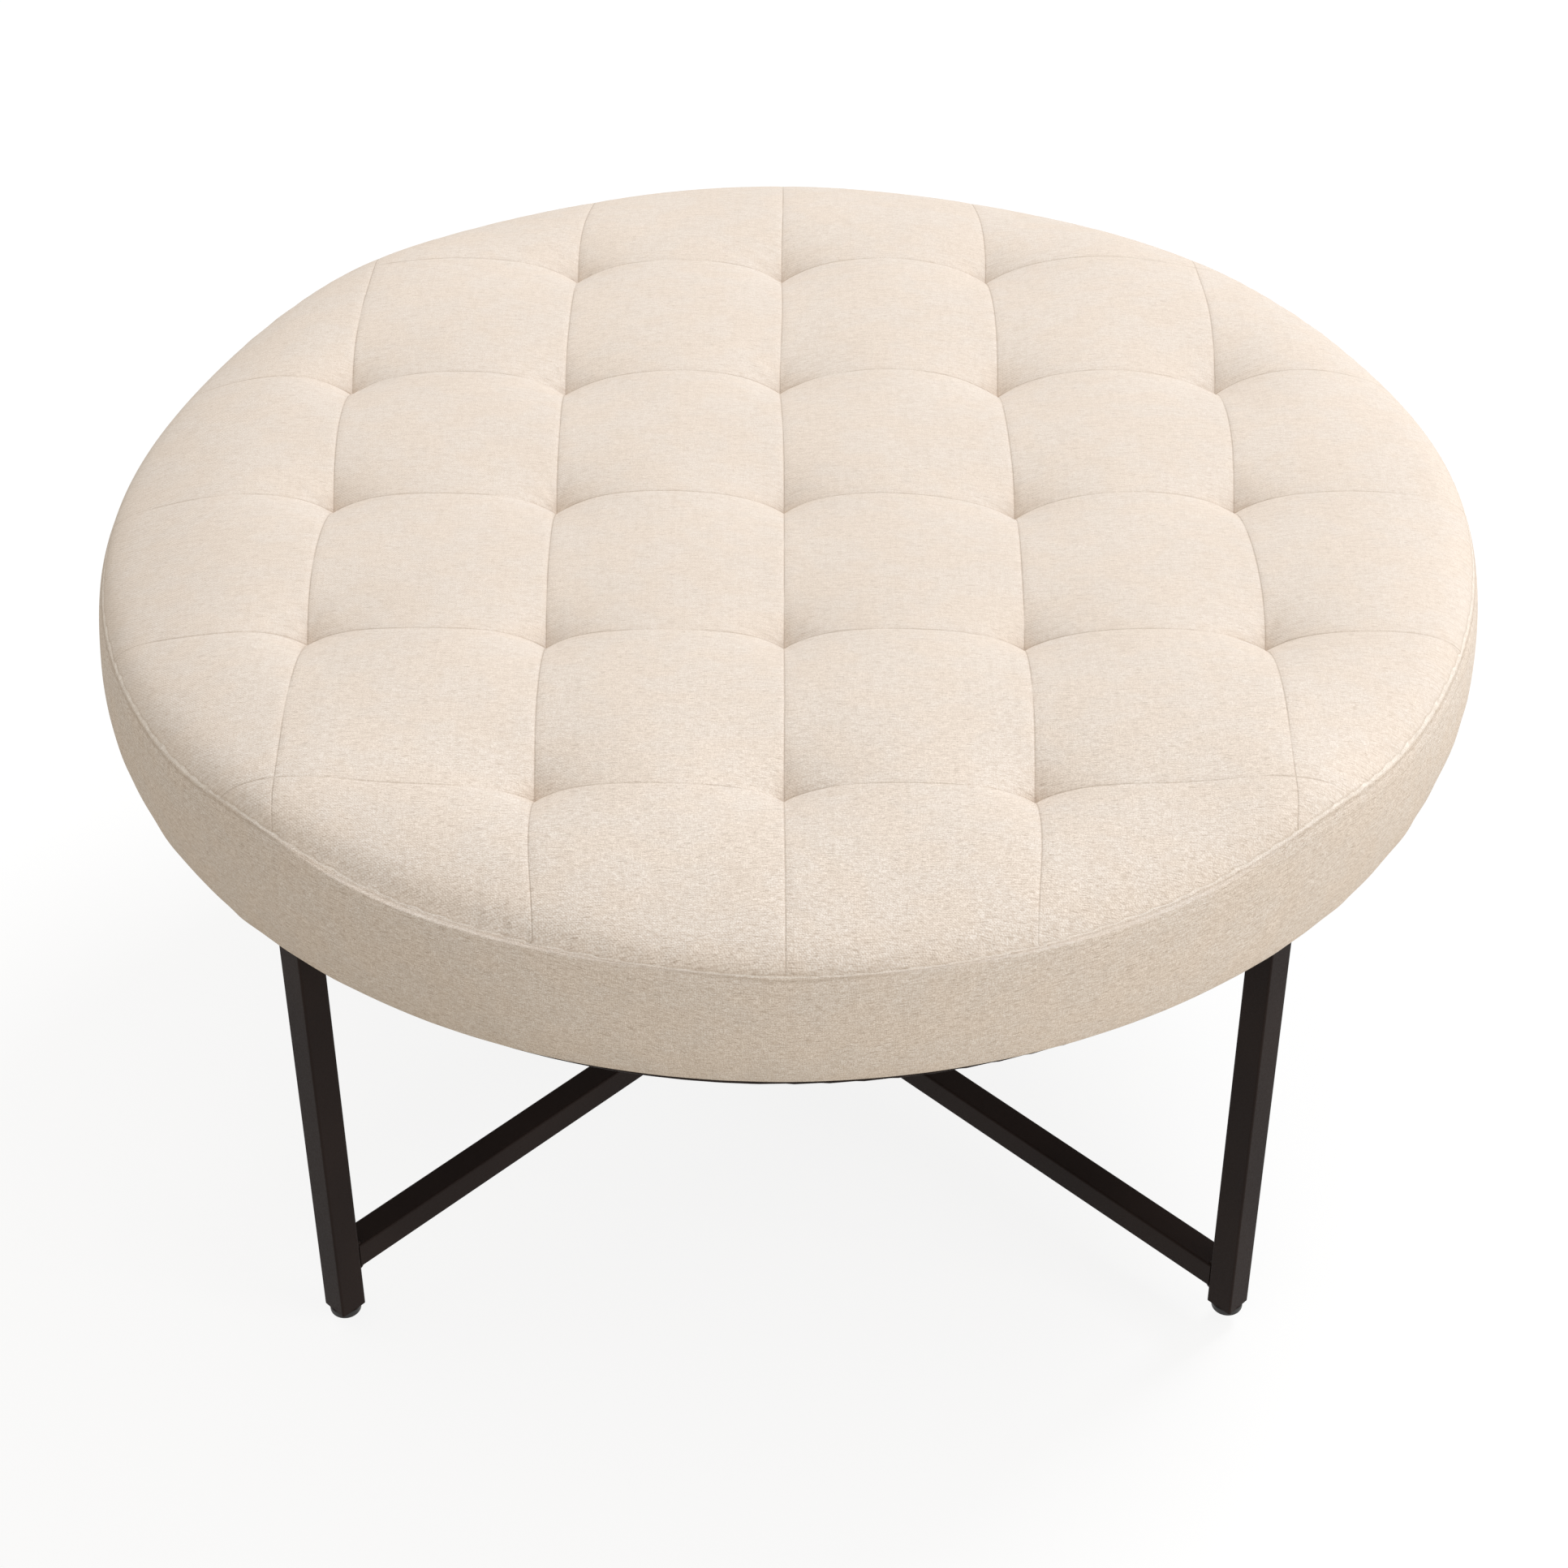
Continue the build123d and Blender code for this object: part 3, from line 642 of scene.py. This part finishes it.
by_node = {
    "deck_panel": deck_wood, "deck_nuts": zinc, "tuft_twines": twine, "tuft_anchors": anchor_plastic,
    "dust_cover_staples": zinc, "ring_tube": coat, "mounting_tabs": coat, "mounting_washers": zinc,
    "mounting_screws": black_screws, "upper_cross_bar": coat, "lower_cross_bar": coat, "bar_welds": bead_coat,
    "ring_welds": bead_coat, "foam_core": foam,
}
for corner in ("front_right", "back_right", "back_left", "front_left"):
    by_node["leg_" + corner] = coat
    by_node["leg_plug_" + corner] = plug_plastic
    by_node["threaded_bush_" + corner] = zinc
    by_node["foot_stem_" + corner] = zinc
    by_node["foot_pad_" + corner] = pad_plastic
for node, material in by_node.items():
    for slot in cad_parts[node].material_slots:
        slot.material = material

# The padded top, as one closed form: tufted cover, edge seam, side, hem, and a recess for the deck
flat, top_faces, rim = flat_cover()
flat_r = np.hypot(flat[:, 0], flat[:, 1])
points = [cover_point(flat[:, 0], flat[:, 1])]
angles = np.arctan2(flat[rim, 1], flat[rim, 0])
rings = side_rings(angles)
rim_count = len(rim)
start = len(flat)
lengths = [np.zeros(rim_count)]  # of side cloth from the edge seam to each ring
before = points[0][rim]
for r, z in rings:
    ring = np.stack([r * np.cos(angles), r * np.sin(angles), z], axis=-1)
    lengths.append(lengths[-1] + np.linalg.norm(ring - before, axis=1))
    points.append(ring)
    before = ring
points = np.concatenate(points)
faces = list(top_faces)
indexes = [list(rim)]  # numbers of each ring's points
for k in range(len(rings)):
    indexes.append(list(range(start + k * rim_count, start + (k + 1) * rim_count)))
side_corners = []  # place on the flat side cloth of each corner of each side face
for k in range(len(rings)):
    upper, lower = indexes[k], indexes[k + 1]
    for m in range(rim_count):
        n = (m + 1) % rim_count
        faces.append([upper[m], lower[m], lower[n], upper[n]])
        wrap = 2 * np.pi if n == 0 else 0.0
        a0, a1 = angles[m] * SEAM_R, (angles[n] + wrap) * SEAM_R
        side_corners += [(a0, lengths[k][m]), (a0, lengths[k + 1][m]), (a1, lengths[k + 1][n]), (a1, lengths[k][n])]
# The last ring, over the deck, is closed with strips from side to side. They lie apart on the flat cloth
STRIPS_APART = 900.0
last = indexes[-1]
for m in range(rim_count // 2):
    strip = [last[m], last[-1 - m], last[-2 - m], last[m + 1]]
    strip = sorted(set(strip), key=strip.index)
    if len(strip) >= 3:
        faces.append(strip)
        side_corners += [(points[k][0], STRIPS_APART + points[k][1]) for k in strip]

give = cloth_run(points, faces, start)
points[:start] += give * (1 - smooth(*GIVE_FADES, flat_r))[:, None]

cushion = new_piece("tufted_top", points, faces, [top_cloth, side_cloth])
mesh = cushion.data
sides = np.zeros(len(faces), np.int32)
sides[len(top_faces):] = 1
mesh.polygons.foreach_set("material_index", sides)
top_corners = [tuple(flat[k]) for face in top_faces for k in face]
cloth_map = mesh.uv_layers.new(name="cloth")
cloth_map.data.foreach_set("uv", (np.array(top_corners + side_corners) * 0.001).astype(np.float32).ravel())
finer = cushion.modifiers.new("finer", "SUBSURF")
finer.levels = 1
finer.render_levels = 1
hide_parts("top_cover", "boxing_band", "wadding", "foam_core")
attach(cushion, "table")

# Dust cover: spun cloth stapled under the deck, a little slack between its staples
COVER_R, COVER_Z, COVER_SAG, STAPLES = 391.0, RIM_Z - 0.55, 1.3, 36
ring_count, turn_count = 44, 216
cover_points = [(0.0, 0.0, COVER_Z - COVER_SAG)]
for k in range(1, ring_count + 1):
    share = k / ring_count
    r = COVER_R * k / ring_count
    for m in range(turn_count):
        a = 2 * math.pi * m / turn_count
        sag = COVER_SAG * (1 - share**2)
        ripple = 0.45 * smooth(0.62, 0.96, share) * (0.5 - 0.5 * math.cos(STAPLES * a))
        x, y = r * math.cos(a), r * math.sin(a)
        cover_points.append((x, y, COVER_Z - sag - ripple - 0.12 * (1 + unevenness(x, y))))
cover_faces = [(0, 1 + (m + 1) % turn_count, 1 + m) for m in range(turn_count)]
for k in range(ring_count - 1):
    for m in range(turn_count):
        n = (m + 1) % turn_count
        a, b = 1 + k * turn_count, 1 + (k + 1) * turn_count
        cover_faces.append((a + m, a + n, b + n, b + m))
dust_cover = new_piece("dust_cover_cloth", cover_points, cover_faces, [dust_cloth])
thick = dust_cover.modifiers.new("thickness", "SOLIDIFY")
thick.thickness = 0.0004
thick.offset = 0.0
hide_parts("dust_cover")
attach(dust_cover, "table")


def seen_or_lighting(tree, lighting, seen, out):
    """Joins to an output one shader that lights the object, and another that the camera and reflections see."""
    rays = tree.nodes.new("ShaderNodeLightPath")
    looks = rays.outputs["Is Camera Ray"]
    for kind in ("Is Glossy Ray", "Is Transmission Ray"):
        either = tree.nodes.new("ShaderNodeMath")
        either.operation = "MAXIMUM"
        tree.links.new(looks, either.inputs[0])
        tree.links.new(rays.outputs[kind], either.inputs[1])
        looks = either.outputs[0]
    blend = tree.nodes.new("ShaderNodeMixShader")
    tree.links.new(looks, blend.inputs[0])
    tree.links.new(lighting, blend.inputs[1])
    tree.links.new(seen, blend.inputs[2])
    tree.links.new(blend.outputs[0], out.inputs["Surface"])


def plain_shader(tree, kind, colour, strength=None):
    node = tree.nodes.new(kind)
    node.inputs["Color"].default_value = (*colour, 1)
    if strength is not None:
        node.inputs["Strength"].default_value = strength
    return node.outputs[0]


# Stage: a plain white floor that keeps a soft shadow, and soft light
world = bpy.data.worlds.new("studio")
bpy.context.scene.world = world
world.use_nodes = True
tree = world.node_tree
tree.nodes.clear()
out = tree.nodes.new("ShaderNodeOutputWorld")
shown = plain_shader(tree, "ShaderNodeBackground", (1, 1, 1), 1.0)
ambient = plain_shader(tree, "ShaderNodeBackground", (1.0, 0.96, 0.90), 0.60)
seen_or_lighting(tree, ambient, shown, out)

# The camera and reflections see a white floor with a light shadow; it throws back less than it shows
floor_white = bpy.data.materials.new("floor_white")
floor_white.use_nodes = True
tree = floor_white.node_tree
tree.nodes.clear()
out = tree.nodes.new("ShaderNodeOutputMaterial")
matt = plain_shader(tree, "ShaderNodeBsdfDiffuse", (0.58, 0.54, 0.47))
pale = plain_shader(tree, "ShaderNodeBsdfDiffuse", (0.18, 0.18, 0.18))
lift = plain_shader(tree, "ShaderNodeEmission", (1, 1, 1), 0.85)
both = tree.nodes.new("ShaderNodeAddShader")
tree.links.new(pale, both.inputs[0])
tree.links.new(lift, both.inputs[1])
seen_or_lighting(tree, matt, both.outputs[0], out)

# The floor lies low enough for the feet to screw out 10 mm without going through it
FLOOR_Z, FLOOR_HALF = -10.3, 30000
floor_corners = [(x * FLOOR_HALF, y * FLOOR_HALF, FLOOR_Z) for x, y in ((-1, -1), (1, -1), (1, 1), (-1, 1))]
floor = new_piece("floor", floor_corners, [(0, 1, 2, 3)], [floor_white])


def area_light(name, place, aim, size, power, colour):
    """A square lamp at a place in metres that points at its aim, and that the camera doesn't see."""
    light = bpy.data.lights.new(name, "AREA")
    light.shape = "SQUARE"
    light.size = size
    light.energy = power
    light.color = colour
    lamp = bpy.data.objects.new(name, light)
    bpy.context.scene.collection.objects.link(lamp)
    direction = Vector(place) - Vector(aim)
    lamp.matrix_world = Matrix.Translation(place) @ direction.to_track_quat("Z", "Y").to_matrix().to_4x4()
    lamp.visible_camera = False


area_light("key_back_right", (2.65, 2.8, 5.4), (0.0, 0.0, 0.4), 2.4, 205.0, (0.97, 1.0, 1.04))
area_light("fill_front_right", (4.26, -2.66, 1.6), (0.0, 0.0, 0.3), 2.6, 74.0, (1.0, 0.99, 0.98))

# Camera at the photograph's place, as solved from it: focal length in pixels of a frame 1932 wide, tilt and roll
FOCAL, FRAME_WIDTH, SENSOR = 4103.644, 1932, 36.0
LOOK_DOWN, ROLL = math.radians(38.92), -0.003
camera_data = bpy.data.cameras.new("camera")
camera_data.sensor_fit = "HORIZONTAL"
camera_data.sensor_width = SENSOR
camera_data.lens = FOCAL / FRAME_WIDTH * SENSOR
camera_data.clip_start = 0.05
camera_data.clip_end = 100.0
camera = bpy.data.objects.new("camera", camera_data)
bpy.context.scene.collection.objects.link(camera)
camera.matrix_world = (
    Matrix.Translation((-0.000534, -1.858661, 1.718569))
    @ Matrix.Rotation(math.pi / 2 - LOOK_DOWN, 4, "X")
    @ Matrix.Rotation(ROLL, 4, "Z")
)
bpy.context.scene.camera = camera
bpy.context.scene.view_settings.view_transform = "Standard"
